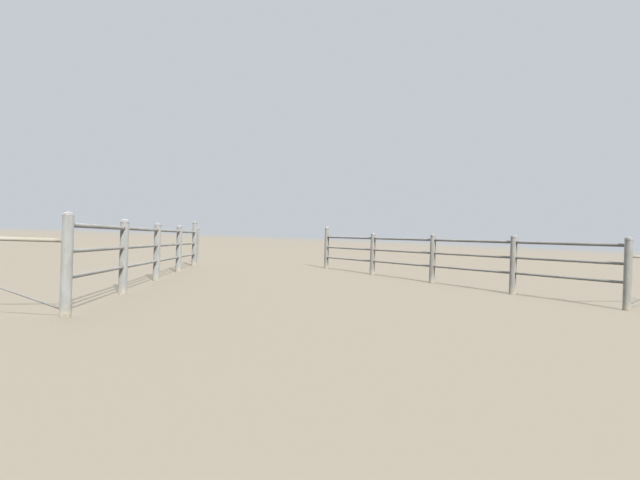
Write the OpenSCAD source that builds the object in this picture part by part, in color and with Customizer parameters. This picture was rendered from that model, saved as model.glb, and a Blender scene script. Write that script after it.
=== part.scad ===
// Flared pipe-fence entrance: two wings of welded steel pipe that draw in from the road to a
// pair of taller gate posts, with a braced bay beside the road at the outer end of each wing.
// The origin is the centre of the left gate post's foot. +X runs across to the right gate post,
// +Y runs through the gateway and away from the road, and +Z is up. Sizes are in millimetres.

/* [Plan] */
// Distance between the two gate posts, centre to centre
gate_width = 5045; // [3000:5:8000]
// Distance between neighbouring posts of a wing, centre to centre
bay_length = 2896; // [1500:4:4000]
// Number of bays in each wing
bay_count = 4; // [1:1:6]
// Angle by which each wing opens out from the line of the drive
flare_angle = 14.5; // [0:0.5:45]
// Distance from a wing's first post to its brace post, centre to centre
brace_length = 2438; // [1200:2:3600]
// How far past the gate line the drive post stands
drive_post_beyond = 1400; // [600:10:3000]
// How far in from the left gate post's line the drive post stands
drive_post_inset = 275; // [0:5:600]

/* [Posts] */
// Outside diameter of the post pipe
post_diameter = 168.3; // [114.3, 141.3, 168.3, 219.1]
// Height of a line post's pipe above the lowest ground
line_post_height = 1515; // [1300:5:2000]
// How much taller the gate posts stand than the line posts
gate_post_extra = 207; // [0:1:500]
// Outside diameter of the drive post's pipe
drive_post_diameter = 88.9; // [60.3, 73, 88.9, 114.3, 168.3]
// Height of the drive post's pipe above the lowest ground
drive_post_height = 1539; // [1000:1:2000]

/* [Rails] */
// Outside diameter of the top rails
top_rail_diameter = 73; // [48.3, 60.3, 73, 88.9]
// Outside diameter of the middle and low rails
lower_rail_diameter = 60.3; // [33.4, 42.2, 48.3, 60.3, 73]
// Drop from the end of a line post's pipe to the centre of the top rail
top_rail_drop = 138; // [80:1:250]
// Distance between the centres of two rails, one above the other
rail_spacing = 395; // [200:5:500]
// Root gap left for the weld between a coped pipe end and its post
weld_gap = 0.3; // [0.1:0.1:1.5]

/* [Braces] */
// Outside diameter of the level brace pipe
brace_pipe_diameter = 60.3; // [42.2, 48.3, 60.3, 73]
// Drop from the end of a line post's pipe to the centre of the brace pipe
brace_pipe_drop = 372; // [200:5:600]
// Outside diameter of the slanting brace rod
brace_rod_diameter = 33.4; // [21.3, 26.7, 33.4, 42.2]
// Height of the brace rod's centre line at the middle of the wing's first post
brace_rod_foot = 100; // [60:5:300]
// Clear space between the brace rod and the brace pipe at the brace post
brace_rod_clearance = 30; // [10:1:100]

/* [Caps] */
// Thickness of a cap's skirt
cap_wall = 4; // [3:0.1:8]
// Space all round between a cap's skirt and its post
cap_clearance = 0.3; // [0.1:0.1:1]
// Length of a cap's skirt down the post
cap_skirt = 28; // [15:1:60]
// Height of a cap's dome above the end of the post
cap_rise = 50; // [35:1:80]
// Height of the dome on the drive post's cap
drive_cap_rise = 26; // [18:1:60]
// How far the half-round bead along a cap's lower edge stands out
rim_bead = 4; // [2:0.5:7]
// Height of the acorn cap's dome above the end of the left wing's first post
acorn_rise = 59; // [40:1:80]
// Diameter over which the acorn cap's dome sweeps up to its peak
peak_diameter = 48; // [30:1:80]
// Height of the acorn cap's peak above its dome
peak_height = 17; // [8:1:40]

/* [Hidden] */
$fn = 96;
LEFT = -1;
RIGHT = 1;
SIDES = [LEFT, RIGHT];
POSTS = [for (n = [1 : bay_count + 1]) n];
BAYS = [for (n = [1 : bay_count]) n];
LEVELS = ["top", "middle", "low"];
gate_post = bay_count + 1;

gate_post_height = line_post_height + gate_post_extra;
brace_pipe_height = line_post_height - brace_pipe_drop;
brace_rod_head = brace_pipe_height - brace_pipe_diameter / 2 - brace_rod_clearance - brace_rod_diameter;
drive_post_at = [drive_post_inset, drive_post_beyond];

// Rail heights and diameters, from the top rail down
function rail_height(level) = line_post_height - top_rail_drop - level * rail_spacing;
function rail_diameter(level) = level == 0 ? top_rail_diameter : lower_rail_diameter;

// Where the middle of a wing's post stands, counted from 1 at the road to the gate post
function wing_run(n) = (gate_post - n) * bay_length;
function post_at(side, n) = [
    gate_width / 2 + side * (gate_width / 2 + wing_run(n) * sin(flare_angle)),
    -wing_run(n) * cos(flare_angle)
];
function post_height(n) = n == gate_post ? gate_post_height : line_post_height;
function brace_post_at(side) = post_at(side, 1) + [side * brace_length, 0];

// Points along an arc in the plane of a turned outline
ARC_STEPS = 8;
function arc(centre, radius, from, to) = [
    for (i = [0 : ARC_STEPS]) let (a = from + (to - from) * i / ARC_STEPS)
        centre + radius * [cos(a), sin(a)]
];

// Points along a quarter ellipse, from the foot of a dome up to where it is only radius to across
DOME_STEPS = 14;
function dome(radius, rise, to = 0) = [
    for (i = [0 : DOME_STEPS]) let (a = acos(to / radius) * i / DOME_STEPS)
        [radius * cos(a), rise * sin(a)]
];

// A domed cap: a dome over a socket, whose skirt ends in a half-round bead
function domed_cap(pipe_diameter, rise) =
    let (socket_radius = pipe_diameter / 2 + cap_clearance, radius = socket_radius + cap_wall) concat(
        [[0, 0], [socket_radius, 0], [socket_radius, -cap_skirt]],
        arc([radius, rim_bead - cap_skirt], rim_bead, -90, 90),
        dome(radius, rise)
    );
post_cap = domed_cap(post_diameter, cap_rise);
drive_post_cap = domed_cap(drive_post_diameter, drive_cap_rise);

// An acorn cap, flush with its post: a dome that sweeps up to a rounded peak, as a cosine wave does
acorn_radius = post_diameter / 2;
peak_radius = peak_diameter / 2;
PEAK_STEPS = 8;
acorn_cap = concat(
    [[0, 0]],
    dome(acorn_radius, acorn_rise, peak_radius),
    [for (i = [1 : PEAK_STEPS]) let (r = peak_radius * (1 - i / PEAK_STEPS))
        [r, acorn_rise * sqrt(1 - pow(r / acorn_radius, 2)) + peak_height * (1 + cos(180 * r / peak_radius)) / 2]]
);

// A straight pipe whose centre line runs from point a to point b
module pipe_between(a, b, diameter) {
    v = b - a;
    length = norm(v);
    translate(a)
        rotate([0, acos(v.z / length), atan2(v.y, v.x)])
            cylinder(d = diameter, h = length);
}

// What a coped pipe end leaves clear round a post
module post_space(at) {
    translate([at.x, at.y, -post_diameter])
        cylinder(d = post_diameter + 2 * weld_gap, h = gate_post_height + 2 * post_diameter);
}

// A pipe from post to post, saddled to fit the round of both
module coped_pipe(from, from_height, to, to_height, diameter) {
    difference() {
        pipe_between([from.x, from.y, from_height], [to.x, to.y, to_height], diameter);
        post_space(from);
        post_space(to);
    }
}

module post(at, height, diameter = post_diameter) {
    color("#c4c6bd")
        translate([at.x, at.y, 0])
            cylinder(d = diameter, h = height);
}

module rail(side, bay, level) {
    color("#c9cac2")
        coped_pipe(
            post_at(side, bay), rail_height(level),
            post_at(side, bay + 1), rail_height(level),
            rail_diameter(level)
        );
}

module brace_pipe(side) {
    color("#d3ccbc")
        coped_pipe(
            post_at(side, 1), brace_pipe_height,
            brace_post_at(side), brace_pipe_height,
            brace_pipe_diameter
        );
}

module brace_rod(side) {
    color("#b9bab0")
        coped_pipe(
            post_at(side, 1), brace_rod_foot,
            brace_post_at(side), brace_rod_head,
            brace_rod_diameter
        );
}

module cap(at, height, outline = post_cap) {
    color("#cfcfcb")
        translate([at.x, at.y, height])
            rotate_extrude()
                polygon(outline);
}

// The caps of one wing and of its brace post: the left wing's first one is the acorn
module wing_caps(side) {
    for (n = POSTS)
        cap(post_at(side, n), post_height(n), side == LEFT && n == 1 ? acorn_cap : post_cap);
    cap(brace_post_at(side), line_post_height);
}

function side_name(side) = side == LEFT ? "left" : "right";
function post_node(side, n) = str(side_name(side), "_post_", n);
function rail_node(side, bay, level) = str(side_name(side), "_", LEVELS[level], "_rail_", bay);
function side_node(side, piece) = str(side_name(side), "_", piece);

for (side = SIDES) {
    for (n = POSTS)
        post(post_at(side, n), post_height(n));
    for (bay = BAYS, level = [0 : len(LEVELS) - 1])
        rail(side, bay, level);
    wing_caps(side);
    post(brace_post_at(side), line_post_height);
    brace_pipe(side);
    brace_rod(side);
}
post(drive_post_at, drive_post_height, drive_post_diameter);  // drive_post
cap(drive_post_at, drive_post_height, drive_post_cap);
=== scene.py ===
import bpy
import numpy as np
from mathutils import Matrix, Vector


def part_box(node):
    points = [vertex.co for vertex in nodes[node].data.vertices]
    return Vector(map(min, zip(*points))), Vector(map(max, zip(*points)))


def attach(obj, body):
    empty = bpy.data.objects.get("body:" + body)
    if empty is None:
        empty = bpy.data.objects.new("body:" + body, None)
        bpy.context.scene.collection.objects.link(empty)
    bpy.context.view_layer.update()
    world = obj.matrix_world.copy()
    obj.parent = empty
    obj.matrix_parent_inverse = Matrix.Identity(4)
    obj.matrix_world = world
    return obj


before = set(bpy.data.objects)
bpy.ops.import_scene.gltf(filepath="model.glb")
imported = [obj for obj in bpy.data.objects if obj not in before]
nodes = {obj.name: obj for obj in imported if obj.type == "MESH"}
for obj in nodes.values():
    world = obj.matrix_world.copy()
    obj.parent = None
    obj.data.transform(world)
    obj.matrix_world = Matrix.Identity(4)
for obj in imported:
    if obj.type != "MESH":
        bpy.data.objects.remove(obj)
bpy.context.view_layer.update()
scene = bpy.context.scene
scene.view_settings.view_transform = "Standard"


# The viewpoint
# Someone standing in the road, a little left of the middle, and looking up the drive. The place,
# heading and lean are those at which the ten posts fall where the photograph has them.
EYE = Vector((-1.874, -20.148, 1.296))
HEADING = np.radians(18.23)
TILT = np.radians(-0.127)
LEAN = np.radians(1.93)
FRAME_WIDTH_PX = 640
FOCAL_LENGTH_PX = 546.4
SENSOR_WIDTH_MM = 36.0

camera = bpy.data.objects.new("viewpoint", bpy.data.cameras.new("viewpoint"))
scene.collection.objects.link(camera)
scene.camera = camera
camera.data.sensor_width = SENSOR_WIDTH_MM
camera.data.lens = FOCAL_LENGTH_PX / FRAME_WIDTH_PX * SENSOR_WIDTH_MM
camera.data.clip_end = 1000
ahead = Vector((np.sin(HEADING) * np.cos(TILT), np.cos(HEADING) * np.cos(TILT), np.sin(TILT)))
right = Vector((np.cos(HEADING), -np.sin(HEADING), 0))
turn = Matrix((right, right.cross(ahead), -ahead)).transposed() @ Matrix.Rotation(LEAN, 3, "Z")
camera.matrix_world = Matrix.LocRotScale(EYE, turn, None)


# The stage
# A plain pale floor that climbs as gently as the site does, so that each post shows its true
# height above it, in front of a plain pale backdrop into which its far edge fades.
FLOOR_REACH = 220.0
FLOOR_CLIMB = 0.01384
FLOOR_COLOUR = "#D3CABA"
FLOOR_BOUNCE_COLOUR = "#A39E97"
BACKDROP_COLOUR = "#C6CCD2"
FADE_FROM, FADE_TO = 30.0, 110.0
GLOW_SHARE = 0.4


def middle_of(name):
    """The middle of a node's box."""
    low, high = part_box(name)
    return (low + high) / 2


road_line = middle_of("left_post_1").y


def ground_at(y):
    """Height of the floor: it climbs in a straight line away from the road."""
    return FLOOR_CLIMB * (y - road_line)


def linear(hex_colour):
    """A colour written as sRGB hex, turned to the linear values that shaders take."""
    srgb = np.array([int(hex_colour[i : i + 2], 16) for i in (1, 3, 5)]) / 255
    light = np.where(srgb <= 0.04045, srgb / 12.92, ((srgb + 0.055) / 1.055) ** 2.4)
    return (*light.tolist(), 1.0)


# A mix node has these places for colours, and calls them by the same names as its other ones
COLOUR_A, COLOUR_B, COLOUR_OUT = 6, 7, 2


def add(tree, kind, values=None, links=None, **settings):
    """Adds a node to a tree, with its settings, the values of its inputs, and what is linked to them.

    A link comes from an output, or from a node, which then stands for its first output.
    """
    made = tree.nodes.new(kind)
    for name, value in settings.items():
        setattr(made, name, value)
    for name, value in (values or {}).items():
        made.inputs[name].default_value = value
    for name, source in (links or {}).items():
        output = source.outputs[0] if isinstance(source, bpy.types.Node) else source
        tree.links.new(output, made.inputs[name])
    return made


def put_mesh(name, points, faces):
    """Makes an object at the origin from a mesh given as an array of points and one of faces."""
    mesh = bpy.data.meshes.new(name)
    mesh.from_pydata(points.reshape(-1, 3).tolist(), [], faces.reshape(-1, faces.shape[-1]).tolist())
    mesh.polygons.foreach_set("use_smooth", [True] * len(mesh.polygons))
    made = bpy.data.objects.new(name, mesh)
    scene.collection.objects.link(made)
    return made


floor_x = np.array([-1, 1, 1, -1]) * FLOOR_REACH
floor_y = np.array([-1, -1, 1, 1]) * FLOOR_REACH
floor_points = np.stack((floor_x, floor_y, ground_at(floor_y)), axis=-1)
floor = put_mesh("floor", floor_points, np.array([[0, 1, 2, 3]]))

floor_paint = bpy.data.materials.new("pale_floor")
floor_paint.use_nodes = True
tree = floor_paint.node_tree
tree.nodes.clear()
rays = add(tree, "ShaderNodeLightPath")
tone = add(tree, "ShaderNodeMix",
           {COLOUR_A: linear(FLOOR_BOUNCE_COLOUR), COLOUR_B: linear(FLOOR_COLOUR)},
           {"Factor": rays.outputs["Is Camera Ray"]}, data_type="RGBA")
matt = add(tree, "ShaderNodeBsdfDiffuse", links={"Color": tone.outputs[COLOUR_OUT]})
place = add(tree, "ShaderNodeTexCoord").outputs["Object"]
away = add(tree, "ShaderNodeVectorMath", links={0: place}, operation="LENGTH")
fade = add(tree, "ShaderNodeMapRange", {"From Min": FADE_FROM, "From Max": FADE_TO},
           {"Value": away.outputs["Value"]}, interpolation_type="SMOOTHSTEP")
shine = add(tree, "ShaderNodeMix",
            {COLOUR_A: linear(FLOOR_COLOUR), COLOUR_B: linear(BACKDROP_COLOUR)}, {"Factor": fade},
            data_type="RGBA")
glow = add(tree, "ShaderNodeEmission", {"Strength": 1.0}, {"Color": shine.outputs[COLOUR_OUT]})
share = add(tree, "ShaderNodeMapRange", {"To Min": GLOW_SHARE}, {"Value": fade})
seen = add(tree, "ShaderNodeMath", links={0: share, 1: rays.outputs["Is Camera Ray"]}, operation="MULTIPLY")
both = add(tree, "ShaderNodeMixShader", links={"Fac": seen, 1: matt, 2: glow})
add(tree, "ShaderNodeOutputMaterial", links={"Surface": both})
floor.data.materials.append(floor_paint)


# The light
# A lamp behind the viewer's right shoulder, from where the sun stood, a weaker and very broad one
# beyond the fence, as from open sky, and an even pale fill from all round. Together they show a
# colour on a lit upright face about as it is written.
LAMPS = {
    "key_lamp": {"bearing": 5.5, "height": 38, "strength": 3.1, "spread": 2, "colour": "#FFFFFF"},
    "sky_lamp": {"bearing": 200, "height": 45, "strength": 1.6, "spread": 75, "colour": "#E6EEF8"},
}
FILL_COLOUR = "#E4E9F0"
FILL_STRENGTH = 0.19

for name, setting in LAMPS.items():
    lamp = bpy.data.objects.new(name, bpy.data.lights.new(name, "SUN"))
    scene.collection.objects.link(lamp)
    lamp.data.energy = setting["strength"]
    lamp.data.angle = np.radians(setting["spread"])
    lamp.data.color = linear(setting["colour"])[:3]
    bearing, height = np.radians((setting["bearing"], setting["height"]))
    level = np.cos(height)
    to_lamp = Vector((np.sin(bearing) * level, -np.cos(bearing) * level, np.sin(height)))
    lamp.matrix_world = to_lamp.to_track_quat("Z", "Y").to_matrix().to_4x4()

scene.world = bpy.data.worlds.new("studio")
scene.world.use_nodes = True
tree = scene.world.node_tree
tree.nodes.clear()
rays = add(tree, "ShaderNodeLightPath")
mirrored = add(tree, "ShaderNodeMath", operation="MAXIMUM",
               links={0: rays.outputs["Is Glossy Ray"], 1: rays.outputs["Is Transmission Ray"]})
shown = add(tree, "ShaderNodeMath", links={0: rays.outputs["Is Camera Ray"], 1: mirrored},
            operation="MAXIMUM")
fill = add(tree, "ShaderNodeBackground", {"Color": linear(FILL_COLOUR), "Strength": FILL_STRENGTH})
backdrop = add(tree, "ShaderNodeBackground", {"Color": linear(BACKDROP_COLOUR), "Strength": 1.0})
both = add(tree, "ShaderNodeMixShader", links={"Fac": shown, 1: fill, 2: backdrop})
add(tree, "ShaderNodeOutputWorld", links={"Surface": both})


# The paint
# Alkyd enamel, brushed over steel pipe out of doors and now some years old: it has lost its shine,
# chalks, which makes its shading flat, holds dust and flakes off here and there. Every part wears
# it, each in its own tone.
MATT_CLEAN, MATT_DUSTY, MATT_BARE = 0.42, 0.68, 0.85
ENAMEL_IOR, CHALKINESS = 1.5, 0.4
BRUSH_MARK_MM, BRUSH_MARK_LENGTH_MM, BRUSH_MARK_DEPTH_MM = 2.5, 40, 0.07
SAG_MM, SAG_LENGTH_MM, SAG_DEPTH_MM = 13, 130, 0.45
CHIP_MM, CHIP_DEPTH_MM, CHIP_EDGE = 22, 0.2, 0.015
RUST_TONE, BARE_TONE = "#7A4E2E", "#6B5344"


def start_paint(name):
    """An empty material of that name, with its tree and the place on the object in metres."""
    material = bpy.data.materials.new(name)
    material.use_nodes = True
    material.node_tree.nodes.clear()
    return material, material.node_tree, add(material.node_tree, "ShaderNodeTexCoord").outputs["Object"]


def cover(tree, *masks):
    """How thickly something lies: its masks, multiplied.

    A mask is an output, or (value, none, full), which climbs softly from 0 where the value is none to
    1 where it is full.
    """
    product = None
    for mask in masks:
        if isinstance(mask, tuple):
            value, none, full = mask
            mask = add(tree, "ShaderNodeMapRange", {"From Min": none, "From Max": full}, {"Value": value},
                       interpolation_type="SMOOTHSTEP")
        if product:
            mask = add(tree, "ShaderNodeMath", links={0: product, 1: mask}, operation="MULTIPLY")
        product = mask
    return product


def blotches(tree, place, size_mm, low, high, detail=3.0):
    """Soft blotches of about size_mm in x, y and z: noise, drawn from 0 below low to 1 above high."""
    sized = add(tree, "ShaderNodeVectorMath", {1: [1000 / side for side in size_mm]}, {0: place},
                operation="MULTIPLY")
    noise = add(tree, "ShaderNodeTexNoise", {"Scale": 1.0, "Detail": detail}, {"Vector": sized})
    return cover(tree, (noise, low, high))


def chipped(tree, place, size_mm, above):
    """Where paint has come off: sharp-edged flakes, of noise above a threshold."""
    return blotches(tree, place, (size_mm, size_mm, size_mm), above, above + CHIP_EDGE, detail=5.0)


def wash(tree, below, colour, strength, *masks):
    """Lays a colour over the colour below, as thick as its masks multiplied, and strength at most."""
    thickness = add(tree, "ShaderNodeMath", {1: strength}, {0: cover(tree, *masks)}, operation="MULTIPLY")
    mixed = add(tree, "ShaderNodeMix", {COLOUR_B: linear(colour)}, {"Factor": thickness, COLOUR_A: below},
                data_type="RGBA")
    return mixed.outputs[COLOUR_OUT]


def finish_paint(tree, place, colour, dust, chips=None, along="Z"):
    """Closes a paint, duller where dust lies, with brush marks and sags along x, y or z.

    Where it has chipped off, the bare rusty steel shows, a little lower and rougher than the paint.
    """
    ways = ["XYZ".index(along) == i for i in range(3)]
    marks_mm, sags_mm = ([long if way else short for way in ways] for short, long in (
        (BRUSH_MARK_MM, BRUSH_MARK_LENGTH_MM), (SAG_MM, SAG_LENGTH_MM)))
    marks = blotches(tree, place, marks_mm, 0.2, 0.8, detail=2.0)
    sags = blotches(tree, place, sags_mm, 0.55, 0.8, detail=1.0)
    relief = add(tree, "ShaderNodeMath", {1: BRUSH_MARK_DEPTH_MM}, {0: marks}, operation="MULTIPLY")
    relief = add(tree, "ShaderNodeMath", {1: SAG_DEPTH_MM}, {0: sags, 2: relief}, operation="MULTIPLY_ADD")
    matt = add(tree, "ShaderNodeMapRange", {"To Min": MATT_CLEAN, "To Max": MATT_DUSTY}, {"Value": dust})
    if chips:
        relief = add(tree, "ShaderNodeMath", {1: -CHIP_DEPTH_MM}, {0: chips, 2: relief},
                     operation="MULTIPLY_ADD")
        colour = wash(tree, colour, BARE_TONE, 0.9, chips)
        matt = add(tree, "ShaderNodeMix", {"B": MATT_BARE}, {"Factor": chips, "A": matt}, data_type="FLOAT")
    bump = add(tree, "ShaderNodeBump", {"Strength": 1.0, "Distance": 0.001}, {"Height": relief})
    paint = add(tree, "ShaderNodeBsdfPrincipled", {"IOR": ENAMEL_IOR, "Diffuse Roughness": CHALKINESS},
                {"Base Color": colour, "Roughness": matt, "Normal": bump})
    add(tree, "ShaderNodeOutputMaterial", links={"Surface": paint})


def dress(names, material):
    """Puts a material on every slot of the CAD nodes named."""
    for name in names:
        for slot in nodes[name].material_slots:
            slot.material = material


# The posts
# Six-inch steel line pipe on end, set in concrete, painted pale grey. Rain has drawn grey streaks
# down them, darkest just under the cap, where they are partly painted shade under its rim. The upper
# part is paler in patches. The feet are paler, partly from lime dust splashed on them and partly
# from painted bounce light from the floor, and rust bleeds from the weld of every pipe.
POST_TONES = {"left": ("#CACAC5", "#D6D6D2", "#B6B5AE"), "right": ("#C5C3BA", "#D1CFC7", "#B0ADA3")}
STREAK_TONE, CHALK_TONE, TOP_TONE = "#959188", "#DEDEDA", "#D2D2D1"
SPLASH_AND_BOUNCE_TONE, MUD_TONE, CEMENT_TONE = "#F0E5CE", "#8C7458", "#A8A399"
SPLASH_AND_BOUNCE_HEIGHT, FOOT_RAGGED = 0.31, 0.13
MUD_HEIGHT = 0.05
RUST_RING, RUST_RUN, RUN_WIDTH, RUN_ONSET, RUN_STRENGTH = 0.016, 0.16, 0.03, 0.01, 0.55
WINGS = ("left", "right")
LEVELS = ("top", "middle", "low")
BAYS = range(1, 5)
WING_POSTS = range(1, 6)
BRACE_ROD_FOOT, BRACE_ROD_HEAD = 0.100, 1.04945

post_radius = (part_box("left_post_1")[1].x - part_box("left_post_1")[0].x) / 2
line_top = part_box("left_post_1")[1].z
gate_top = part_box("left_post_5")[1].z

# Each wing's three rails, brace pipe and brace rod, as (start, end, radius): their centre lines run
# between the middles of two posts, the rails' from the gate post to the road
runs = {}
for wing in WINGS:
    ends = ("post_1", "post_5", "brace_post")
    road_post, gate_post, brace_post = (middle_of(f"{wing}_{end}") for end in ends)
    runs[wing] = []
    for rail in (*(f"{level}_rail_4" for level in LEVELS), "brace_pipe"):
        low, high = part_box(f"{wing}_{rail}")
        start, end = (road_post, brace_post) if rail == "brace_pipe" else (gate_post, road_post)
        height = Vector((0, 0, (low.z + high.z) / 2))
        runs[wing].append((start.xy.to_3d() + height, end.xy.to_3d() + height, (high.z - low.z) / 2))
    low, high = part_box(f"{wing}_brace_rod")
    foot, head = Vector((0, 0, BRACE_ROD_FOOT)), Vector((0, 0, BRACE_ROD_HEAD))
    runs[wing].append((road_post.xy.to_3d() + foot, brace_post.xy.to_3d() + head, (high.y - low.y) / 2))


def along_pipe(tree, place, start, end):
    """The place as seen from a pipe: x and z across it, and y along it from its start."""
    facing = (end - start).to_track_quat("Y", "Z").to_euler()
    return add(tree, "ShaderNodeMapping", {"Location": start, "Rotation": facing}, {"Vector": place},
               vector_type="TEXTURE").outputs[0]


def weld_stains(tree, place, pipes):
    """How far rust has spread from the welds of these pipes, on the post that carries them.

    Seen from a pipe, the ring is where the distance from its axis is just over its radius, and the
    run is a narrow band under it. Both end where the pipe does.
    """
    total = None
    for start, end, radius in pipes:
        seen = along_pipe(tree, place, start, end)
        aside, on, up = add(tree, "ShaderNodeSeparateXYZ", links={0: seen}).outputs
        across = add(tree, "ShaderNodeCombineXYZ", links={0: aside, 2: up})
        off = add(tree, "ShaderNodeVectorMath", links={0: across}, operation="LENGTH").outputs["Value"]
        ring = cover(tree, (off, radius + RUST_RING, radius))
        sideways = add(tree, "ShaderNodeMath", links={0: aside}, operation="ABSOLUTE")
        below = cover(tree, (up, -radius - RUST_RUN, -radius), (up, RUN_ONSET - radius, -radius))
        run = cover(tree, (sideways, RUN_WIDTH, 0), below)
        run = add(tree, "ShaderNodeMath", {1: RUN_STRENGTH}, {0: run}, operation="MULTIPLY")
        stain = add(tree, "ShaderNodeMath", links={0: ring, 1: run}, operation="MAXIMUM")
        middle = (end - start).length / 2
        on_pipe = add(tree, "ShaderNodeMath", {1: middle, 2: middle}, {0: on}, operation="COMPARE")
        stain = cover(tree, stain, on_pipe)
        if total:
            stain = add(tree, "ShaderNodeMath", links={0: total, 1: stain}, operation="MAXIMUM")
        total = stain
    return total


for wing in WINGS:
    post_paint, tree, place = start_paint(f"brushed_enamel_{wing}_posts")
    _, y, z = add(tree, "ShaderNodeSeparateXYZ", links={0: place}).outputs
    ground = add(tree, "ShaderNodeMath", {1: FLOOR_CLIMB, 2: -FLOOR_CLIMB * road_line}, {0: y},
                 operation="MULTIPLY_ADD")
    height = add(tree, "ShaderNodeMath", links={0: z, 1: ground}, operation="SUBTRACT")
    at_gate = add(tree, "ShaderNodeMath", {1: 0.0, 2: 0.5}, {0: y}, operation="COMPARE")
    top = add(tree, "ShaderNodeMath", {1: gate_top - line_top, 2: line_top}, {0: at_gate},
              operation="MULTIPLY_ADD")
    from_top = add(tree, "ShaderNodeMath", links={0: top, 1: z}, operation="SUBTRACT")

    fresh, faded, greyed = POST_TONES[wing]
    broad = blotches(tree, place, (1400, 1400, 500), 0.5, 0.85, detail=2.0)
    tone = add(tree, "ShaderNodeMix", {COLOUR_A: linear(fresh), COLOUR_B: linear(greyed)},
               {"Factor": broad}, data_type="RGBA").outputs[COLOUR_OUT]
    tone = wash(tree, tone, faded, 0.75, blotches(tree, place, (110, 110, 260), 0.45, 0.7))
    tone = wash(tree, tone, STREAK_TONE, 0.3, blotches(tree, place, (26, 26, 900), 0.5, 0.74))
    # Paler towards the top, in patches
    paler_top_patches = blotches(tree, place, (60, 60, 300), 0.3, 0.6)
    tone = wash(tree, tone, TOP_TONE, 0.7, (from_top, 0.45, 0.12), paler_top_patches)
    # Darker streaks just under the cap: dirt run down from it, and partly painted shade under its rim
    runs_and_shade_below_cap = blotches(tree, place, (12, 12, 700), 0.52, 0.66)
    tone = wash(tree, tone, STREAK_TONE, 0.4, (from_top, 0.3, 0.03), runs_and_shade_below_cap)
    tone = wash(tree, tone, CHALK_TONE, 0.4, blotches(tree, place, (7, 7, 9), 0.5, 0.66))
    # The feet paler: a ragged splash of lime dust, and partly painted bounce light from the floor
    fringe = blotches(tree, place, (45, 45, 80), 0.25, 0.75)
    ragged = add(tree, "ShaderNodeMath", {1: FOOT_RAGGED}, {0: fringe, 2: height},
                 operation="MULTIPLY_ADD")
    splash_and_bounce = cover(tree, (ragged, SPLASH_AND_BOUNCE_HEIGHT, 0.04))
    tone = wash(tree, tone, SPLASH_AND_BOUNCE_TONE, 0.75, splash_and_bounce)
    tone = wash(tree, tone, MUD_TONE, 0.3, splash_and_bounce, blotches(tree, place, (10, 10, 60), 0.56, 0.68))
    tone = wash(tree, tone, MUD_TONE, 0.25, (ragged, MUD_HEIGHT + 0.06, MUD_HEIGHT))
    tone = wash(tree, tone, CEMENT_TONE, 0.9, (height, 0.0, -0.012))
    patchy = blotches(tree, place, (14, 14, 50), 0.3, 0.62)
    tone = wash(tree, tone, RUST_TONE, 0.75, weld_stains(tree, place, runs[wing]), patchy)
    drips = blotches(tree, place, (8, 8, 260), 0.62, 0.7)
    tone = wash(tree, tone, RUST_TONE, 0.4, (from_top, 0.15, 0.03), drips)
    chips = chipped(tree, place, CHIP_MM, 0.72)
    finish_paint(tree, place, tone, splash_and_bounce, chips)
    dress([f"{wing}_post_{n}" for n in WING_POSTS] + [f"{wing}_brace_post"], post_paint)
    if wing == "left":
        dress(["drive_post"], post_paint)


# The rails
# Lengths of smaller pipe, coped and welded between the posts in three rows. Their tops are dusty
# and chalked by the sun, their undersides carry painted shade, deeper on the right wing, and the
# ends by the welds are stained.
RAIL_TONE, RAIL_FADED, RAIL_DUST = "#BFBDB6", "#CCCAC4", "#D8D3C7"
# Painted shade: the undersides of rails and braces are darkened towards this tone, more deeply on the right
# wing
UNDERSIDE_SHADE_TONE, RAIL_STREAK = "#7C7366", "#938D80"
UNDERSIDE_SHADE_DEPTH = {"left": 0.2, "right": 0.45}
END_STAIN = 0.15
bay_length = (runs["left"][0][1] - runs["left"][0][0]).length / len(BAYS)


def pipe_weather(tree, place, along, post_spacing, tone, underside_shade, stain):
    """Weathers a lying pipe: streaks along it, dust on top, painted shade below, and stained ends.

    Along is the place as seen from the pipe, with its posts every post_spacing along y. Returns the
    colour and how thick the dust lies.
    """
    normal = add(tree, "ShaderNodeNewGeometry").outputs["Normal"]
    facing = add(tree, "ShaderNodeSeparateXYZ", links={0: normal})
    on = add(tree, "ShaderNodeSeparateXYZ", links={0: along}).outputs[1]
    from_post = add(tree, "ShaderNodeMath", {1: post_spacing / 2}, {0: on}, operation="PINGPONG")
    tone = wash(tree, tone, RAIL_STREAK, 0.35, blotches(tree, along, (16, 420, 16), 0.5, 0.72))
    dust = cover(tree, (facing.outputs[2], 0.55, 0.95), blotches(tree, along, (12, 60, 12), 0.35, 0.6))
    tone = wash(tree, tone, RAIL_DUST, 0.55, dust)
    # Painted shade: surfaces that face downwards are darkened, as deeply as the underside shade asks
    tone = wash(tree, tone, UNDERSIDE_SHADE_TONE, underside_shade, (facing.outputs[2], -0.1, -0.75))
    tone = wash(tree, tone, CHALK_TONE, 0.3, blotches(tree, place, (6, 6, 6), 0.52, 0.68))
    tone = wash(tree, tone, RUST_TONE, stain, (from_post, post_radius + END_STAIN, post_radius + 0.01),
                blotches(tree, along, (14, 40, 14), 0.35, 0.65))
    return tone, dust


for wing in WINGS:
    rail_paint, tree, place = start_paint(f"brushed_enamel_{wing}_rails")
    along = along_pipe(tree, place, *runs[wing][0][:2])
    tone = add(tree, "ShaderNodeMix", {COLOUR_A: linear(RAIL_TONE), COLOUR_B: linear(RAIL_FADED)},
               {"Factor": blotches(tree, along, (300, 700, 300), 0.4, 0.65)},
               data_type="RGBA").outputs[COLOUR_OUT]
    tone, dust = pipe_weather(tree, place, along, bay_length, tone, UNDERSIDE_SHADE_DEPTH[wing], 0.5)
    chips = chipped(tree, place, CHIP_MM, 0.72)
    finish_paint(tree, along, tone, dust, chips, along="Y")
    dress([f"{wing}_{level}_rail_{bay}" for level in LEVELS for bay in BAYS], rail_paint)


# The braces
# A level pipe and a slanting rod hold each wing's first post against its brace post. The pipe wears
# a warm, creamy enamel and the rod a darker grey, with the same dust, stains and painted underside
# shade as the rails.
BRACE_TONE, BRACE_FADED, ROD_TONE = "#D8D2BF", "#E0DCCE", "#B2B1AA"
# How deep the painted shade on the braces' undersides is
BRACE_UNDERSIDE_SHADE_DEPTH = 0.4

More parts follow.
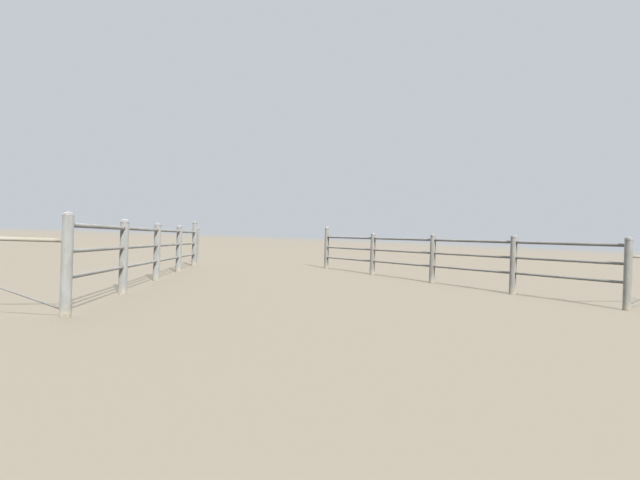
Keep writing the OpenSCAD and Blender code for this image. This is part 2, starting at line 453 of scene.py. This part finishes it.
for wing in WINGS:
    for piece, (start, end, _), base, faded in (("brace_pipe", runs[wing][3], BRACE_TONE, BRACE_FADED),
                                                ("brace_rod", runs[wing][4], ROD_TONE, RAIL_FADED)):
        brace_paint, tree, place = start_paint(f"brushed_enamel_{wing}_{piece}")
        along = along_pipe(tree, place, start, end)
        tone = add(tree, "ShaderNodeMix", {COLOUR_A: linear(base), COLOUR_B: linear(faded)},
                   {"Factor": blotches(tree, along, (200, 500, 200), 0.4, 0.65)},
                   data_type="RGBA").outputs[COLOUR_OUT]
        tone, dust = pipe_weather(tree, place, along, (end - start).length, tone, BRACE_UNDERSIDE_SHADE_DEPTH, 0.5)
        finish_paint(tree, along, tone, dust, along="Y")
        dress([f"{wing}_{piece}"], brace_paint)


# The caps
# Domed steel caps, set over the posts' ends and painted with them. The crown is chalked pale, dirt
# lies where the dome turns down, and rust shows along the lower edge.
CAP_TONE, CAP_FADED, CAP_DIRT = "#CBCAC8", "#DBDAD9", "#8F8A80"
CAP_CHIP_MM = 18

cap_paint, tree, place = start_paint("brushed_enamel_caps")
normal = add(tree, "ShaderNodeNewGeometry").outputs["Normal"]
up = add(tree, "ShaderNodeSeparateXYZ", links={0: normal}).outputs[2]
tone = add(tree, "ShaderNodeMix", {COLOUR_A: linear(CAP_TONE), COLOUR_B: linear(CAP_FADED)},
           {"Factor": blotches(tree, place, (60, 60, 60), 0.4, 0.62)},
           data_type="RGBA").outputs[COLOUR_OUT]
tone = wash(tree, tone, CAP_DIRT, 0.35, (up, 0.0, 0.45), (up, 0.95, 0.6),
            blotches(tree, place, (22, 22, 12), 0.35, 0.65))
tone = wash(tree, tone, STREAK_TONE, 0.3, blotches(tree, place, (13, 13, 300), 0.52, 0.7))
dust = cover(tree, (up, 0.7, 0.98), blotches(tree, place, (10, 10, 10), 0.35, 0.6))
tone = wash(tree, tone, RAIL_DUST, 0.4, dust)
tone = wash(tree, tone, RUST_TONE, 0.6, (up, -0.3, -0.9))
chips = chipped(tree, place, CAP_CHIP_MM, 0.71)
finish_paint(tree, place, tone, dust, chips)
dress(["left_caps", "right_caps", "drive_post_cap"], cap_paint)


# The welds
# Beads run by hand right round each coped pipe end and the foot of the acorn cap, and three short
# tacks under the rim of every other cap, painted over. Each is a row of overlapping ripples.
BEAD_RADIUS, BEAD_SINK = 0.0062, 0.0015
GIRTH_RADIUS, GIRTH_SINK = 0.0055, 0.0032
TACK_RADIUS, TACK_SINK, TACK_COUNT, TACK_LENGTHS = 0.0048, 0.0008, 3, (0.014, 0.02)
RIPPLE_PITCH, RIPPLE_DEPTH, RIPPLE_STEPS = 0.0048, 0.15, 4
BEAD_ROUND = 10
LUMP_HEIGHT, LUMP_LENGTH = 0.0016, 0.006
WELD_TONE, WELD_VALLEY = "#CAC8C2", "#B2AEA5"
CAP_SKIRT = 0.028


def pipe_foot(start, end, radius):
    """The closed curve where a pipe from start to end meets the round post whose axis start lies on.

    The pipe's surface line at angle a is start + t d + r o, with d along the pipe and o across it.
    It meets the post where its plan distance from the axis is the post's radius R, which gives
    |d|^2 t^2 + 2 r (d.o) t + r^2 |o|^2 - R^2 = 0 in plan. The curve is a function of a that returns
    its points, and the outward directions there of the two faces that meet in it.
    """
    d = np.array((end - start).normalized())
    side = np.cross(d, (0, 0, 1))
    side /= np.linalg.norm(side)
    lift = np.cross(side, d)

    def curve(a):
        o = np.cos(a)[:, None] * side + np.sin(a)[:, None] * lift
        square = d[:2] @ d[:2]
        half = radius * o[:, :2] @ d[:2]
        rest = radius**2 * (o[:, :2] ** 2).sum(axis=1) - post_radius**2
        t = (-half + np.sqrt(half**2 - square * rest)) / square
        points = np.array(start) + t[:, None] * d + radius * o
        out = (points - np.array(start)) * (1, 1, 0)
        return points, out / np.linalg.norm(out, axis=1)[:, None], o

    return curve


def girth(middle, radius, height, other_face=None):
    """A level circle round a post, as such a curve. Its other face looks the way given, or outward."""

    def curve(a):
        out = np.stack((np.cos(a), np.sin(a), 0 * a), axis=-1)
        points = np.array((middle.x, middle.y, height)) + radius * out
        return points, out, out if other_face is None else np.broadcast_to(other_face, out.shape)

    return curve


def weld(rng, curve, radius, sink, start=0.0, length=None):
    """A rippled bead right round a closed curve, or a tack of some length from start along it.

    Its section is a circle about a point sunk below the curve, in the plane of the mean of the two
    outward directions and of the curve's own side. Its size wanders slowly, dips between ripples,
    whose crests bend back towards both toes, and swells in a lump where the welder stopped. A tack
    is as round lengthwise as half an ellipse, and closes to a point at both ends.
    Returns points, triangles, and for each point how near it is to a crest and to a toe.
    """
    a = np.linspace(0, 2 * np.pi, 721)
    steps = np.linalg.norm(np.diff(curve(a)[0], axis=0), axis=1)
    run = np.concatenate(([0], steps.cumsum()))
    closed = length is None
    length = length or run[-1]
    ripples = round(length / RIPPLE_PITCH)
    count = ripples * RIPPLE_STEPS
    part = (np.arange(count) + (0 if closed else 0.5)) / count
    along = start + part * length
    path, first, second = curve(np.interp(along % run[-1], run, a))
    ahead = curve(np.interp((along + 0.0005) % run[-1], run, a))[0] - path
    middle = first + second
    middle /= np.linalg.norm(middle, axis=1)[:, None]
    across = np.cross(middle, ahead / np.linalg.norm(ahead, axis=1)[:, None])

    stop = rng.uniform(0, 1)
    gap = np.abs((part - stop + 0.5) % 1 - 0.5) * length
    waves = rng.integers(2, 5)
    phase = rng.uniform(0, 2 * np.pi, 2)
    wander = np.sin(waves * 2 * np.pi * part + phase[0]) + np.sin((waves + 3) * 2 * np.pi * part + phase[1])
    size = radius * (1 + 0.05 * wander) + LUMP_HEIGHT * np.exp(-((gap / LUMP_LENGTH) ** 2))
    if not closed:
        size *= np.sqrt(1 - (2 * part - 1) ** 2)
    section = 2 * np.pi * np.arange(BEAD_ROUND) / BEAD_ROUND
    crest = np.abs(np.sin(np.pi * (part[:, None] * ripples - 0.35 * np.cos(section))))
    size = size[:, None] * (1 - RIPPLE_DEPTH * (1 - crest) * (np.cos(section) > -0.2))
    spokes = np.cos(section)[:, None] * middle[:, None] + np.sin(section)[:, None] * across[:, None]
    rings = (path - sink * middle)[:, None] + size[..., None] * spokes
    toe = np.broadcast_to(np.abs(np.sin(section)), crest.shape)

    i, j = np.meshgrid(np.arange(count if closed else count - 1), np.arange(BEAD_ROUND), indexing="ij")
    i2, j2 = (i + 1) % count, (j + 1) % BEAD_ROUND
    near, near2, far, far2 = (row * BEAD_ROUND + column for row in (i, i2) for column in (j, j2))
    triangles = [np.stack((near, far, far2), axis=-1), np.stack((near, far2, near2), axis=-1)]
    points = rings.reshape(-1, 3)
    if not closed:
        points = np.concatenate((points, rings[[0, -1]].mean(axis=1)))
        crest, toe = (np.append(values, (1, 0)) for values in (crest, toe))
        pole = np.full(BEAD_ROUND, count * BEAD_ROUND)
        triangles.append(np.stack((near[0], near2[0], pole), axis=-1))
        triangles.append(np.stack((far2[-1], far[-1], pole + 1), axis=-1))
    return points, np.concatenate([rows.reshape(-1, 3) for rows in triangles]), crest.ravel(), toe.ravel()


weld_paint, tree, place = start_paint("brushed_enamel_welds")
crest = add(tree, "ShaderNodeAttribute", attribute_name="crest").outputs["Fac"]
toe = add(tree, "ShaderNodeAttribute", attribute_name="toe").outputs["Fac"]
tone = add(tree, "ShaderNodeMix", {COLOUR_A: linear(WELD_VALLEY), COLOUR_B: linear(WELD_TONE)},
           {"Factor": cover(tree, (crest, 0.1, 0.7))}, data_type="RGBA").outputs[COLOUR_OUT]
tone = wash(tree, tone, RUST_TONE, 0.55, (toe, 0.6, 0.95), blotches(tree, place, (20, 20, 20), 0.35, 0.6))
finish_paint(tree, place, tone, blotches(tree, place, (14, 14, 14), 0.4, 0.65))


def put_welds(name, beads):
    """Joins beads into one piece, with their crests and toes as attributes that the paint reads."""
    points, triangles, crests, toes = zip(*beads)
    offsets = np.cumsum([0, *(len(bead) for bead in points[:-1])])
    faces = np.concatenate([bead + offset for bead, offset in zip(triangles, offsets)])
    welds = put_mesh(name, np.concatenate(points), faces)
    for layer_name, values in (("crest", crests), ("toe", toes)):
        layer = welds.data.attributes.new(layer_name, "FLOAT", "POINT")
        layer.data.foreach_set("value", np.concatenate(values).astype(np.float32))
    welds.data.materials.append(weld_paint)
    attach(welds, "root")


rng = np.random.default_rng(11)
for wing in WINGS:
    beads = []
    for row, (start, end, radius) in enumerate(runs[wing]):
        bays = len(BAYS) if row < len(LEVELS) else 1
        step = (end - start) / bays
        for bay in range(bays):
            for near, far in ((bay, bay + 1), (bay + 1, bay)):
                foot = pipe_foot(start + step * near, start + step * far, radius)
                beads.append(weld(rng, foot, BEAD_RADIUS, BEAD_SINK))
    put_welds(f"{wing}_welds", beads)

    beads = []
    capped = [f"{wing}_post_{n}" for n in WING_POSTS] + [f"{wing}_brace_post"]
    for post in capped + (["drive_post"] if wing == "left" else []):
        low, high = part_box(post)
        radius = (high.x - low.x) / 2
        if post == "left_post_1":
            beads.append(weld(rng, girth(middle_of(post), radius, high.z), GIRTH_RADIUS, GIRTH_SINK))
            continue
        rim = girth(middle_of(post), radius, high.z - CAP_SKIRT, (0, 0, -1))
        for turned in (np.arange(TACK_COUNT) + rng.uniform(0, 1)) / TACK_COUNT:
            tack_at = (turned + rng.uniform(-0.03, 0.03)) * 2 * np.pi * radius
            beads.append(weld(rng, rim, TACK_RADIUS, TACK_SINK, tack_at, rng.uniform(*TACK_LENGTHS)))
    put_welds(f"{wing}_cap_welds", beads)
